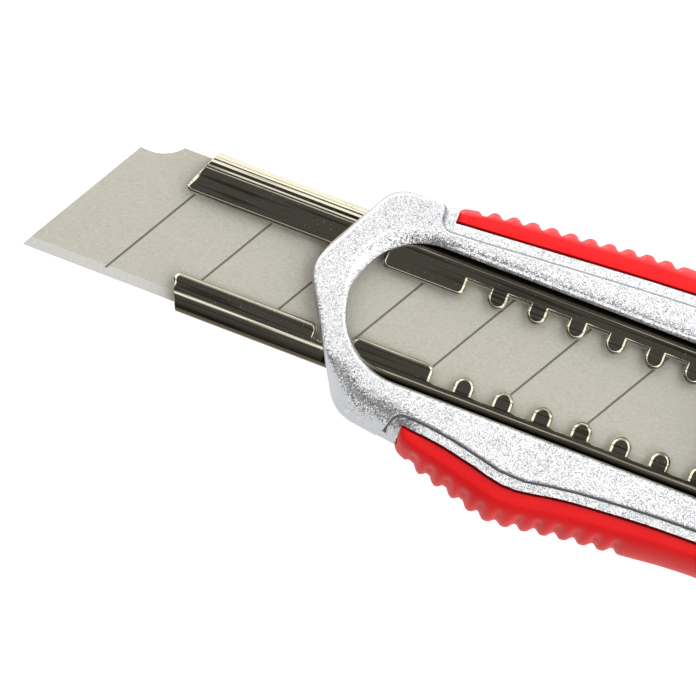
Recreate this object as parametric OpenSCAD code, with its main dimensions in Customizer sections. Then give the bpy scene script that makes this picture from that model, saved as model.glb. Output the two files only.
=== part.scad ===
// Snap-off utility knife: a die-cast two-shell handle with rubber grips, a pressed steel blade
// channel with two rows of lock tabs, and a slider whose spring lugs sit between the tabs.
//
// X runs from the blade tip (-X) to the tail (+X), Y from the cutting edge (-Y) to the spine (+Y),
// and the handle lies on its back at Z = 0. In the modules, X is measured from the handle's nose,
// Y from the centre line of the blade channel and Z from the back; place() moves every piece so
// that the origin is the centre of the whole object's footprint.

/* [Blade] */
// Width of the blade, from cutting edge to spine
blade_w = 18; // [17:0.5:22]
// Thickness of the blade
blade_t = 0.5; // [0.4:0.05:0.7]
// Overall length of the blade
blade_l = 100; // [98:1:120]
// How far the blade tip stands ahead of the handle's nose at rest
blade_out = 34.2; // [30:0.1:38]
// Distance between two score lines
segment_pitch = 10; // [8:0.5:12]
// Number of score lines
score_count = 7; // [3:1:7]
// Slant of the tip, the scores and the tail, from the cutting edge
tip_angle = 60; // [55:1:65]
// Width of the ground bevel along the cutting edge
edge_bevel = 1.3; // [0.8:0.1:2]
// Radius of the hollow at the back corner of the tip
scallop_r = 5.2; // [4:0.1:7]
// Radius of the carrier's stud that fits in the blade's hole
stud_r = 2; // [1.5:0.1:2.5]
// Gap between the stud and the edge of the blade's hole
stud_clear = 0.2; // [0.1:0.05:0.4]

/* [Blade channel] */
// Thickness of the sheet steel
sheet_t = 0.8; // [0.6:0.1:1]
// Clear height inside the channel
channel_clear_h = 1.5; // [1.4:0.1:2]
// Gap between the blade and each side wall
blade_side_gap = 0.2; // [0.1:0.05:0.3]
// How far the channel stands ahead of the nose on the cutting-edge side
channel_out_edge = 15.4; // [12:0.1:18]
// How far the channel stands ahead of the nose on the spine side
channel_out_spine = 17.9; // [14:0.1:20]
// Width of the rounded bend at each side, seen from above
bend_w = 2.8; // [2.2:0.1:3.4]
// Height of the rounded bend
bend_h = 1.8; // [1.4:0.1:2.2]
// Reach of the lip from the channel's side, on the cutting-edge side
lip_edge = 4.65; // [4:0.05:5.2]
// Reach of the lip from the channel's side, on the spine side
lip_spine = 5.85; // [5:0.05:6.4]
// How much further the lips and tabs reach inside the handle, on the cutting-edge side
more_edge = 0.4; // [0:0.05:0.6]
// How much further they reach inside the handle on the spine side
more_spine = 0.25; // [0:0.05:0.6]
// Length of the lock tabs on the spine side
tab_l = 2.05; // [1.6:0.05:2.4]
// Width of a lock tab
tab_w = 2.65; // [1.8:0.05:2.8]
// Distance between two lock tabs
tab_pitch = 5.1; // [4.8:0.1:6]
// Centre of the first lock tab, behind the nose
first_tab_x = 22.4; // [21:0.1:24]

/* [Handle] */
// Length of the two castings
body_l = 122; // [101:1:147]
// Height of the castings from the back to the rim of the window
body_h = 13; // [12:0.5:16]
// Height of the back casting, up to the joint of the two shells
back_h = 6.6; // [6:0.1:8]
// Height of the back shell's front end above the back
nose_lift = 4; // [2:0.5:4.5]
// How much lower than the rim the nose starts
nose_drop = 2.2; // [1:0.1:2.6]
// How far the window's rim covers each side of the channel
rim_cover = 1.3; // [0.8:0.1:2]
// Thickness of the nose bar in front of the window
nose_bar = 5.4; // [4.5:0.1:7]
// Width of the rail on the spine side at the nose
rail_spine = 3.65; // [3.4:0.05:5]
// Width of the rail on the cutting-edge side at the nose
rail_edge = 4.9; // [4.5:0.1:6]
// Radius of the case screws' shanks
screw_r = 1.1; // [0.9:0.05:1.3]
// Radius of the lanyard hole
lanyard_r = 2.2; // [1.8:0.1:2.4]

/* [Grips] */
// Start of the spine grip behind the nose
spine_grip_x = 14.3; // [13:0.1:16]
// Start of the cutting-edge grip behind the nose
edge_grip_x = 16.9; // [16:0.1:19]
// Distance from the rear end of the grips to the rear end of the castings
grip_rear = 22; // [18:1:28]
// Distance between two finger ribs
rib_pitch = 2.42; // [2:0.02:3]
// Depth of the grooves between the ribs
rib_depth = 0.7; // [0.3:0.1:1]
// Number of ribs on the spine grip
spine_ribs = 10; // [4:1:12]
// Number of ribs on the cutting-edge grip
edge_ribs = 11; // [4:1:12]
// Depth of the key that locks each grip between the shells
grip_key_w = 0.8; // [0.5:0.1:1]

/* [Slider] */
// Length of the slider base
slider_l = 28; // [25:0.5:32]
// Gap between the slider base and the window, each side
slider_gap = 1.1; // [0.6:0.1:1.6]
// How far the button can be pressed
button_travel = 0.85; // [0.6:0.05:0.9]
// Height of the button's top above the rim of the window
button_proud = 3.6; // [2:0.1:6]
// Thickness of the soft pad on the button
pad_t = 1.2; // [0.8:0.1:2]
// Radius of the button's stem
stem_r = 1.4; // [1.1:0.1:1.6]

/* [Tail cap] */
// Length of the tail cap behind the castings
cap_l = 14; // [12:0.5:18]
// Height of the slit in which a blade segment is snapped off
snap_slit_h = 1.2; // [1:0.1:1.6]
// Depth of the slit
snap_slit_l = 9; // [7:0.5:10]

/* [Hidden] */
$fn = 64;
over = 1;                 // how far a cutter runs past the face it cuts
press_gap = 0.05;         // gap around a piece that is held still
slide_gap = 0.15;         // gap around a piece that slides

// Heights
floor_z = back_h + sheet_t;                      // top of the channel's floor
blade_z = floor_z + press_gap;                   // underside of the blade
carrier_z = blade_z + blade_t + press_gap;       // underside of the carrier
lip_z = floor_z + channel_clear_h;               // underside of the lips
channel_top = lip_z + sheet_t;
carrier_t = lip_z - slide_gap - carrier_z;

// Widths
channel_w = blade_w + 2 * (blade_side_gap + sheet_t);
half = channel_w / 2;
lip_low_y = -half + lip_edge;                    // free edge of the lip, cutting-edge side
lip_high_y = half - lip_spine;                   // free edge of the lip, spine side
tip_low_y = lip_low_y + more_edge;               // tips of the tabs, and lips inside the handle
tip_high_y = lip_high_y - more_spine;
root_low_y = -half + bend_w;                     // these tabs grow straight from the bend
root_high_y = tip_high_y + tab_l;
opening_y = (tip_low_y + tip_high_y) / 2;        // middle of the opening between the tabs
front_y0 = lip_low_y - 1.1;                      // ends of the slanted line of the channel's front
front_y1 = lip_high_y + 0.7;
window_r = half - rim_cover;
window_x = nose_bar + window_r;                  // centre of the window's round end

// Lock tabs, and the gap in which the slider's lugs rest
channel_end_x = body_l - 1;
tab_count = floor((body_l - 28 - first_tab_x) / tab_pitch) + 1;
first_gap_x = first_tab_x - tab_pitch / 2;
front_lip_end = first_tab_x - 4.1;               // the plain lips of the window end here
stud_x = blade_l - blade_out - 9;
stud_y = 1.5;
lug_x = first_gap_x + round((stud_x + 9 - first_gap_x) / tab_pitch) * tab_pitch;

// Slider
slider_r = window_r - slider_gap;                // round front end and half width of the base
slider_x0 = stud_x - 3;
slider_x1 = slider_x0 + slider_l;
base_z = channel_top + slide_gap;
base_top = base_z + 0.95;
platform_top = base_top + 1.8;
button_z0 = base_top + 1;
button_top = body_h + button_proud;
ceiling_z = platform_top + button_travel + 0.45;
stem_x = (slider_x0 + slider_x1) / 2;
spring_z = lip_z + 0.05;
spring_t = 0.4;
neck_gap = 0.45;                                 // between the slider's necks and the tabs
neck_y0 = tip_low_y + neck_gap;
neck_y1 = tip_high_y - neck_gap;
rear_neck_x = lug_x + 7.5;
rear_neck_l = slider_x1 - 1.5 - rear_neck_x;
carrier_half = half - 2;
carrier_screw_xs = [slider_x0 + 6.8, rear_neck_x + 3.5];
carrier_screw_ys = [neck_y0 + 2, neck_y1 - 2];

// Handle outline: each station is [distance behind the nose, distance from the centre line]
grip_end_x = body_l - grip_rear;
spine_rim = [
    [spine_grip_x, half + 1.95], [45, half + 4.05], [65, half + 4.4],
    [body_l - 37, half + 3.9], [grip_end_x, half + 2.9]
];
spine_side = [
    [spine_grip_x, half + 4.1], [20, half + 5.3], [30, half + 6.25], [40.4, half + 7.15],
    [50, half + 7], [65, half + 7.1], [body_l - 32, half + 6.5], [body_l - 17, half + 5.3],
    [body_l, half + 3.4]
];
edge_rim = [
    [edge_grip_x, -half - 3.15], [22, -half - 3.65], [26.3, -half - 4.55], [31.5, -half - 5.6],
    [38, -half - 4.7], [43, -half - 4.25], [50, -half - 3.85], [60, -half - 3.75],
    [body_l - 47, -half - 4.1], [grip_end_x, -half - 5]
];
edge_side = [
    [edge_grip_x, -half - 6.2], [20.9, -half - 7.95], [25.8, -half - 9.3], [30.58, -half - 10.6],
    [35.4, -half - 10.1], [40.3, -half - 9.4], [45.1, -half - 8.95], [51, -half - 8.2],
    [58, -half - 7.95], [body_l - 47, -half - 8.4], [body_l - 27, -half - 9.8],
    [body_l - 12, -half - 10.2], [body_l, -half - 9]
];
spine_rib_x = 18.6;
edge_rib_x = 20.9;
rib_step = rib_pitch / 6;
grip_z0 = 1.2;
grip_z1 = body_h - 1.2;

// Tail
plug_l = 10;
plug_z0 = base_z;
eyelet_x = body_l - 10;
eyelet_y = -half - 4.8;
eyelet_wall = 0.8;
flange_r = lanyard_r + 2;
flange_t = 0.8;
rivet_xs = [19, body_l - 12];
rivet_y = 0;
screw_seat_z = 3.2;
screw_head_r = 1.9;
screw_head_t = 1.2;
screw_top_z = body_h - 2;
screw_places = [
    [10.2, half + 1.9], [11.5, -half - 2.6],
    [body_l - 14, half + 2.5], [body_l - 26, -half - 2.3]
];
cap_gap = 0.1;
cap_z0 = 0.6;
cap_z1 = body_h - 0.4;

// The ribs of the cutting-edge grip and the tail's corners set the width of the whole object.
grip_low_y = min([for (p = edge_outline()) p.y]);
grip_high_y = max([for (p = spine_outline()) p.y]);
mid_x = (body_l + cap_l - blade_out) / 2;
mid_y = (grip_low_y + grip_high_y) / 2;

// ---- Curves ----

function slope(pts, i) =
    let (a = pts[max(i - 1, 0)], b = pts[min(i + 1, len(pts) - 1)]) (b.y - a.y) / (b.x - a.x);
function span(pts, x, i = 0) = (i >= len(pts) - 2 || x < pts[i + 1].x) ? i : span(pts, x, i + 1);
// Height at x of a smooth curve through the stations pts
function curve(pts, x) =
    let (i = span(pts, x), p = pts[i], q = pts[i + 1], h = q.x - p.x, t = (x - p.x) / h)
    p.y + t * t * (3 - 2 * t) * (q.y - p.y)
        + t * (1 - t) * (1 - t) * h * slope(pts, i) - t * t * (1 - t) * h * slope(pts, i + 1);
function along(pts, x0, x1, step) =
    let (n = max(1, round(abs(x1 - x0) / step)))
    [for (i = [0:n]) let (x = x0 + (x1 - x0) * i / n) [x, curve(pts, x)]];

// How deep the grip is cut in at x by the grooves between its ribs
function rib_cut(x, first, count) =
    (x < first - rib_pitch || x > first + count * rib_pitch)
        ? 0 : rib_depth * (1 - cos(360 * (x - first) / rib_pitch)) / 2;
// X places that follow the ribs closely and the plain part of the grip loosely
function grip_xs(start, first, count) =
    let (last = first + count * rib_pitch)
    [
        start,
        each [for (i = [-5:count * 6]) first + i * rib_step],
        each [for (i = [1:20]) last + (grip_end_x - last) * i / 20]
    ];
function spine_outline() =
    [for (x = grip_xs(spine_grip_x, spine_rib_x, spine_ribs))
        [x, curve(spine_side, x) - rib_cut(x, spine_rib_x, spine_ribs)]];
function edge_outline() =
    [for (x = grip_xs(edge_grip_x, edge_rib_x, edge_ribs))
        [x, curve(edge_side, x) + rib_cut(x, edge_rib_x, edge_ribs)]];

// Rounds the corners of an outline; each point is [x, y, corner radius]
function unit(v) = v / norm(v);
function flat(p) = [p.x, p.y];
function corner(p, q, s, r, n) =
    let (
        u = unit(p - q), v = unit(s - q), turn = acos(u * v) / 2,
        c = q + unit(u + v) * r / sin(turn),
        a = q + u * r / tan(turn) - c, b = q + v * r / tan(turn) - c,
        start = atan2(a.y, a.x),
        sweep = (atan2(b.y, b.x) - start + 540) % 360 - 180
    )
    [for (i = [0:n]) c + r * [cos(start + sweep * i / n), sin(start + sweep * i / n)]];
function rounded(pts, n = 8) =
    let (m = len(pts))
    [for (i = [0:m - 1]) each
        pts[i].z > 0
            ? corner(flat(pts[(i + m - 1) % m]), flat(pts[i]), flat(pts[(i + 1) % m]), pts[i].z, n)
            : [flat(pts[i])]];

// ---- Helpers ----

module place() translate([-mid_x, -mid_y, 0]) children();
module layer(z0, z1) translate([0, 0, z0]) linear_extrude(z1 - z0) children();
module block(x0, x1, y0, y1, z0, z1) translate([x0, y0, z0]) cube([x1 - x0, y1 - y0, z1 - z0]);
module rod(x, y, z0, z1, r) translate([x, y, z0]) cylinder(h = z1 - z0, r = r);
// A slot with round ends, from x0 to x1
module stadium(x0, x1, r) {
    translate([x0 + r, 0]) circle(r);
    translate([x1 - r, 0]) circle(r);
    translate([x0 + r, -r]) square([x1 - x0 - 2 * r, 2 * r]);
}

// ---- Handle ----

module handle_plan() {
    nose = rounded([
        [edge_grip_x, -half - 5.7, 0],
        [8.6, -half - rail_edge + 0.2, 5],
        [-0.66, 1.4, 4.5],
        [6.1, half + rail_spine + 0.05, 4],
        [spine_grip_x, half + rail_spine - 0.05, 0]
    ]);
    polygon([
        each nose,
        each along(spine_rim, spine_grip_x, grip_end_x, 4),
        each along(spine_side, grip_end_x, body_l, 4),
        each along(edge_side, body_l, grip_end_x, 4),
        each along(edge_rim, grip_end_x, edge_grip_x, 2)
    ]);
}

// Side view of the handle, extruded across its full width
module handle_side() {
    translate([0, 3 * half, 0]) rotate([90, 0, 0]) linear_extrude(6 * half) polygon([
        [-2, nose_lift], [-2, body_h - nose_drop], [16, body_h], [body_l + over, body_h],
        [body_l + over, 0], [24, 0]
    ]);
}

module window_plan() {
    translate([window_x, 0]) circle(window_r);
    translate([window_x, -window_r]) square([body_l + over - window_x, 2 * window_r]);
}

// The keys of both grips, which the shells clamp between them
module grip_keys(gap) {
    z0 = back_h - 0.8 - gap;
    z1 = back_h + 0.8 + gap;
    inward = grip_key_w + gap;
    layer(z0, z1) polygon([
        each along(spine_rim, spine_grip_x + 3, grip_end_x - 3, 4),
        each [for (p = along(spine_rim, grip_end_x - 3, spine_grip_x + 3, 4)) p - [0, inward]]
    ]);
    layer(z0, z1) polygon([
        each along(edge_rim, edge_grip_x + 3, grip_end_x - 3, 2),
        each [for (p = along(edge_rim, grip_end_x - 3, edge_grip_x + 3, 2)) p + [0, inward]]
    ]);
}

// Holes that pass through both shells
module shell_holes() {
    for (p = screw_places) {
        rod(p.x, p.y, -over, screw_seat_z, screw_head_r + 0.2);
        rod(p.x, p.y, 0, back_h, screw_r + slide_gap);
        rod(p.x, p.y, back_h - 0.01, screw_top_z + 0.2, screw_r);
    }
    rod(eyelet_x, eyelet_y, -over, body_h + over, lanyard_r + eyelet_wall);
    rod(eyelet_x, eyelet_y, -over, flange_t + 0.2, flange_r + 0.1);
    rod(eyelet_x, eyelet_y, body_h - flange_t - 0.2, body_h + over, flange_r + 0.1);
}

module face_casting() {
    // The rib under the nose bar drops into the notch of the channel's lips.
    rib_z = blade_z + blade_t + 0.35;
    color("#E4E6EA") place() difference() {
        intersection() {
            layer(back_h, body_h + over) handle_plan();
            handle_side();
        }
        layer(back_h - over, body_h + over) window_plan();
        difference() {
            block(-3, body_l + over, -half - press_gap, half + press_gap,
                  back_h - over, channel_top + press_gap);
            block(4.2, 7, -half + bend_w + 0.2, half - bend_w - 0.2, rib_z, channel_top + over);
        }
        grip_keys(press_gap);
        shell_holes();
    }
}

module back_casting() {
    pocket_l = 13.5;
    pocket_pitch = 15.5;
    pocket_count = floor((body_l - 36) / pocket_pitch);
    color("#D4D7DB") place() difference() {
        intersection() {
            layer(-over, back_h) handle_plan();
            handle_side();
        }
        // Pockets that keep the wall even, closed by the channel's floor
        for (i = [0:pocket_count - 1])
            block(24 + i * pocket_pitch, 24 + i * pocket_pitch + pocket_l, -7.5, 7.5, 2, back_h + over);
        for (x = rivet_xs) rod(x, rivet_y, 3, back_h + over, 1.2);
        grip_keys(press_gap);
        shell_holes();
    }
}

module case_screws() {
    color("#8C8E90") place() for (p = screw_places) difference() {
        union() {
            rod(p.x, p.y, screw_seat_z - screw_head_t, screw_seat_z, screw_head_r);
            rod(p.x, p.y, screw_seat_z, screw_top_z, screw_r);
        }
        // Cross recess
        for (turn = [0, 90])
            translate([p.x, p.y, screw_seat_z - screw_head_t - over]) rotate([0, 0, turn])
                translate([-1.1, -0.3, 0]) cube([2.2, 0.6, over + 0.6]);
    }
}

module lanyard_eyelet() {
    color("#B9BBBD") place() difference() {
        union() {
            rod(eyelet_x, eyelet_y, 0.2, body_h - 0.2, lanyard_r + eyelet_wall);
            rod(eyelet_x, eyelet_y, 0.2, 0.2 + flange_t, flange_r);
            rod(eyelet_x, eyelet_y, body_h - 0.2 - flange_t, body_h - 0.2, flange_r);
        }
        rod(eyelet_x, eyelet_y, -over, body_h + over, lanyard_r);
    }
}

module grip_keys_of(side) {
    intersection() {
        grip_keys(0);
        block(0, body_l, side > 0 ? 0 : -3 * half, side > 0 ? 3 * half : 0, 0, body_h);
    }
}

module spine_grip() {
    color("#E8312F") place() {
        layer(grip_z0, grip_z1) polygon([
            each spine_outline(),
            each along(spine_rim, grip_end_x, spine_grip_x, 4)
        ]);
        grip_keys_of(1);
    }
}

module edge_grip() {
    color("#DC262A") place() {
        layer(grip_z0, grip_z1) polygon([
            each edge_outline(),
            each along(edge_rim, grip_end_x, edge_grip_x, 2)
        ]);
        grip_keys_of(-1);
    }
}

// ---- Blade channel ----

// Cross-section of the channel, with x as its width and y as its height
module channel_section() {
    function quarter(sx, rx, ry, n = 10) = [for (i = [0:n])
        [sx * (half - bend_w + rx * sin(90 * i / n)), channel_top - bend_h + ry * cos(90 * i / n)]];
    foot = 1;
    function foot_arc(sx, n = 5) = [for (i = [0:n])
        [sx * (half - foot + foot * cos(90 * i / n)), back_h + foot - foot * sin(90 * i / n)]];
    function back_of(list) = [for (i = [len(list) - 1:-1:0]) list[i]];
    polygon([
        [tip_high_y, channel_top], each quarter(1, bend_w, bend_h), each foot_arc(1),
        each back_of(foot_arc(-1)), each back_of(quarter(-1, bend_w, bend_h)),
        [tip_low_y, channel_top], [tip_low_y, lip_z],
        each quarter(-1, bend_w - sheet_t, bend_h - sheet_t),
        [-half + sheet_t, floor_z], [half - sheet_t, floor_z],
        each back_of(quarter(1, bend_w - sheet_t, bend_h - sheet_t)), [tip_high_y, lip_z]
    ]);
}

module tab(x, root_y, tip_y) {
    r = tab_w / 2;
    s = sign(tip_y - root_y);
    translate([x, tip_y - s * r]) circle(r, $fn = 32);
    translate([x - r, s > 0 ? root_y - 1 : tip_y + r]) square([tab_w, abs(tip_y - root_y) + 1 - r]);
}

// Everything of the lips that is left after cutting, seen from above
module lips_plan() {
    notch_x0 = 3.3;
    notch_x1 = 7.6;
    lip_r = 1;
    front_r = 0.8;
    front = -channel_out_spine - over;
    // The channel's front end is one slanted line across both lips.
    function front_x(y) = -channel_out_edge
        + (y - front_y0) * (channel_out_edge - channel_out_spine) / (front_y1 - front_y0);
    function lip_piece(x_root, x0, x1, y_root, y_free, r0, r1) = rounded([
        [x_root, y_root, 0], [x1, y_root, 0], [x1, y_free, r1], [x0, y_free, r0]
    ]);
    for (side = [-1, 1]) {
        y_front = side < 0 ? lip_low_y : lip_high_y;
        y_tip = side < 0 ? tip_low_y : tip_high_y;
        y_bend = side * (half - bend_w);
        polygon(lip_piece(front_x(y_bend), front_x(y_front), notch_x0, y_bend, y_front,
                          front_r, lip_r));
        polygon(lip_piece(notch_x1, notch_x1, front_lip_end, y_bend, y_tip, lip_r, lip_r));
        translate([front, side < 0 ? -half - over : y_bend])
            square([channel_end_x - front + over, bend_w + over]);
    }
    // The ledge on the spine side, from which the tabs grow
    translate([notch_x1, root_high_y])
        square([channel_end_x - notch_x1, half - bend_w - root_high_y + over]);
    for (i = [0:tab_count - 1]) {
        tab(first_tab_x + i * tab_pitch, root_low_y, tip_low_y);
        tab(first_tab_x + i * tab_pitch, root_high_y, tip_high_y);
    }
}

// The slanted front end of the channel, seen from above
module channel_plan() {
    polygon([
        [-channel_out_edge + 2, -half - over], [-channel_out_edge, front_y0],
        [-channel_out_spine, front_y1],
        [-channel_out_spine + 2.8, half + over], [channel_end_x, half + over],
        [channel_end_x, -half - over]
    ]);
}

module blade_channel() {
    color("#77756B") place() difference() {
        intersection() {
            translate([-channel_out_spine - over, 0, 0]) rotate([90, 0, 90])
                linear_extrude(channel_end_x + channel_out_spine + 2 * over) channel_section();
            layer(back_h - over, channel_top + over) channel_plan();
            union() {
                block(-channel_out_spine - over, channel_end_x, -half - over, half + over,
                      back_h - over, lip_z - 0.05);
                layer(lip_z - 0.05, channel_top + over) lips_plan();
            }
        }
        for (x = rivet_xs) rod(x, rivet_y, back_h - over, floor_z + 0.01, 2);
    }
}

module channel_rivets() {
    color("#9A9B9D") place() for (x = rivet_xs) {
        rod(x, rivet_y, back_h, floor_z, 2);
        rod(x, rivet_y, 3, back_h, 1.2);
    }
}

// ---- Blade ----

module blade_plan() {
    slant = blade_w / tan(tip_angle);
    y0 = -blade_w / 2;
    y1 = blade_w / 2;
    difference() {
        polygon([
            [-blade_out, y0], [blade_l - blade_out - slant, y0],
            [blade_l - blade_out, y1], [-blade_out + slant, y1]
        ]);
        // Hollow at the back corner of the tip
        translate([-blade_out + slant + 0.1, y1 + scallop_r - 1.85]) circle(scallop_r);
        translate([stud_x, stud_y]) circle(stud_r + stud_clear);
    }
}

module blade() {
    score_w = 0.25;
    score_depth = 0.12;
    slant_l = blade_w / sin(tip_angle);
    y0 = -blade_w / 2;
    color("#C6C4BA") place() difference() {
        intersection() {
            layer(blade_z, blade_z + blade_t) blade_plan();
            translate([-blade_out - over, 0, blade_z]) rotate([90, 0, 90])
                linear_extrude(blade_l + 2 * over) polygon([
                    [y0, 0], [-y0, 0], [-y0, blade_t], [y0 + edge_bevel, blade_t], [y0, 0.06]
                ]);
        }
        for (i = [1:score_count])
            translate([-blade_out + i * segment_pitch, y0, blade_z + blade_t - score_depth])
                rotate([0, 0, tip_angle])
                    translate([-over, -score_w / 2, 0]) cube([slant_l + 2 * over, score_w, over]);
    }
}

// ---- Slider ----

module blade_carrier() {
    z1 = carrier_z + carrier_t;
    color("#A8AAAC") place() difference() {
        union() {
            layer(carrier_z, z1) polygon(rounded([
                [slider_x0, -carrier_half, 2], [slider_x1, -carrier_half, 1],
                [slider_x1, carrier_half, 1], [slider_x0, carrier_half, 2]
            ]));
            // Pad under the foot of the lock spring
            block(rear_neck_x, rear_neck_x + rear_neck_l, neck_y0, neck_y1, z1 - 0.1, spring_z);
        }
        // Opening into which the lock spring bends
        block(lug_x - 2, lug_x + 6.5, root_low_y + 0.15, root_high_y - 0.15,
              carrier_z - over, spring_z + over);
        rod(stud_x, stud_y, carrier_z - over, z1 + over, stud_r - 0.5);
        for (x = carrier_screw_xs, y = carrier_screw_ys) {
            rod(x, y, carrier_z - over, spring_z + over, 0.9);
            rod(x, y, carrier_z - over, carrier_z + 0.5, 1.5);
        }
    }
}

module blade_stud() {
    color("#8F9092") place() {
        rod(stud_x, stud_y, blade_z, carrier_z, stud_r);
        rod(stud_x, stud_y, carrier_z, carrier_z + carrier_t, stud_r - 0.5);
    }
}

module carrier_screws() {
    color("#8C8E90") place() for (x = carrier_screw_xs, y = carrier_screw_ys) {
        rod(x, y, carrier_z, carrier_z + 0.5, 1.5);
        rod(x, y, carrier_z + 0.5, base_top + 0.8, 0.9);
    }
}

module lock_spring() {
    lug_w = tab_pitch - tab_w - 0.7;
    color("#B4B6B8") place() difference() {
        union() {
            block(lug_x - lug_w / 2, rear_neck_x + rear_neck_l, neck_y0 + 0.3, neck_y1 - 0.3,
                  spring_z, spring_z + spring_t);
            // Lugs, turned up between the tabs on both sides
            block(lug_x - lug_w / 2, lug_x + lug_w / 2, root_low_y + 0.4, root_high_y - 0.4,
                  spring_z, spring_z + spring_t);
            for (y = [[root_low_y + 0.4, tip_low_y + 0.4], [tip_high_y - 0.4, root_high_y - 0.4]])
                block(lug_x - lug_w / 2, lug_x + lug_w / 2, y[0], y[1],
                      spring_z, channel_top - 0.1);
        }
        for (y = carrier_screw_ys)
            rod(carrier_screw_xs[1], y, spring_z - over, channel_top + over, 0.9);
    }
}

// A rectangle with a rounder front end, grown all round by grow
module pad_plan(x0, x1, r, grow) {
    polygon(rounded([
        [x0 - grow, -r - grow, r + grow - 1], [x1 + grow, -r - grow, r + grow - 2.5],
        [x1 + grow, r + grow, r + grow - 2.5], [x0 - grow, r + grow, r + grow - 1]
    ]));
}
module platform_plan(grow) pad_plan(slider_x0 + 3.6, slider_x1 - 3.6, 5, grow);
module button_plan(grow) pad_plan(slider_x0 + 2, slider_x1 - 2, 6.5, grow);

module slider_base() {
    color("#2E2F31") place() difference() {
        union() {
            layer(base_z, base_top) stadium(slider_x0, slider_x1, slider_r);
            layer(base_top, platform_top) platform_plan(0);
            block(slider_x0 + 2, slider_x0 + 8.5, neck_y0, neck_y1, carrier_z + carrier_t, base_z);
            block(rear_neck_x, rear_neck_x + rear_neck_l, neck_y0, neck_y1,
                  spring_z + spring_t, base_z);
        }
        rod(stem_x, opening_y, base_z - over, platform_top + over, stem_r + 0.1);
        rod(stem_x, opening_y, base_top, platform_top + over, stem_r + 1.9);
        for (x = carrier_screw_xs, y = carrier_screw_ys)
            rod(x, y, carrier_z, base_top + 0.8, 0.9);
    }
}

module thumb_button() {
    color("#262729") place() {
        difference() {
            layer(button_z0, button_top - pad_t) button_plan(0);
            layer(button_z0 - over, ceiling_z) platform_plan(0.15);
        }
        rod(stem_x, opening_y, spring_z + spring_t + 0.05, ceiling_z + 0.1, stem_r);
    }
}

module button_pad() {
    grooves = 5;
    groove_pitch = 3;
    groove_w = 1.2;
    groove_depth = 0.6;
    color("#E0302E") place() difference() {
        layer(button_top - pad_t, button_top) button_plan(-1.2);
        for (i = [0:grooves - 1])
            let (x = stem_x + (i - (grooves - 1) / 2) * groove_pitch - groove_w / 2)
                block(x, x + groove_w, -half, half, button_top - groove_depth, button_top + over);
    }
}

// Coil spring between the slider base and the button
module button_spring() {
    wire_r = 0.25;
    coil_r = stem_r + 0.75;
    z0 = base_top + wire_r + 0.02;
    z1 = ceiling_z - wire_r - 0.02;
    turns = 4;
    rings = 64;
    sides = 8;
    points = [for (i = [0:rings], j = [0:sides - 1])
        let (a = 360 * turns * i / rings, b = 360 * j / sides, r = coil_r + wire_r * cos(b))
        [r * cos(a), r * sin(a), z0 + (z1 - z0) * i / rings + wire_r * sin(b)]];
    walls = [for (i = [0:rings - 1], j = [0:sides - 1])
        let (k = (j + 1) % sides, a = i * sides)
        [a + j, a + k, a + sides + k, a + sides + j]];
    start = [for (j = [sides - 1:-1:0]) j];
    end = [for (j = [0:sides - 1]) rings * sides + j];
    color("#9FA1A3") place() translate([stem_x, opening_y, 0])
        polyhedron(points, [each walls, start, end]);
}

// ---- Tail cap ----

module tail_cap() {
    x0 = body_l + cap_gap;
    x1 = body_l + cap_l;
    top_y = curve(spine_side, body_l) - 0.3;
    low_y = curve(edge_side, body_l) + 0.3;
    slit_z0 = back_h - 0.4;
    color("#2A2B2D") place() difference() {
        union() {
            layer(cap_z0, cap_z1) polygon(rounded([
                [x0, low_y, 0], [x1, low_y + 4, 8], [x1, top_y - 2, 6], [x0, top_y, 0]
            ]));
            // Plug that closes the window, and the tongue that closes the channel
            block(body_l - plug_l, x0 + over, -window_r + 0.3, window_r - 0.3, plug_z0, cap_z1);
            block(body_l - plug_l + 2, x0 + over, -6.5, 6.5, floor_z + 0.2, lip_z - 0.2);
        }
        block(x1 - snap_slit_l, x1 + over, -half - 0.6, half + 0.6,
              slit_z0, slit_z0 + snap_slit_h + 1);
        for (y = [-7, 7]) {
            rod(x1 - snap_slit_l + 3.5, y, slit_z0, cap_z1 + over, 1);
            rod(x1 - snap_slit_l + 3.5, y, cap_z1 - 0.6, cap_z1 + over, 2);
        }
    }
}

module snapper_plate() {
    x1 = body_l + cap_l;
    z0 = back_h - 0.4 + snap_slit_h;
    color("#A9ABAD") place() difference() {
        block(x1 - snap_slit_l, x1 - 1.2, -half - 0.6, half + 0.6, z0, z0 + 1);
        for (y = [-7, 7]) rod(x1 - snap_slit_l + 3.5, y, z0 - over, z0 + 1 + over, 1);
    }
}

module cap_rivets() {
    x = body_l + cap_l - snap_slit_l + 3.5;
    z0 = back_h - 0.4 + snap_slit_h;
    color("#B4B6B8") place() for (y = [-7, 7]) {
        rod(x, y, z0, cap_z1 - 0.6, 1);
        rod(x, y, cap_z1 - 0.6, cap_z1, 2);
    }
}

face_casting();
back_casting();
case_screws();
lanyard_eyelet();
spine_grip();
edge_grip();
blade_channel();
channel_rivets();
blade();
blade_carrier();
blade_stud();
carrier_screws();
slider_base();
lock_spring();
thumb_button();
button_pad();
button_spring();
tail_cap();
snapper_plate();
cap_rivets();
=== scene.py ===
import math

import bmesh
import bpy
import numpy as np
from mathutils import Matrix, Vector


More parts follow.
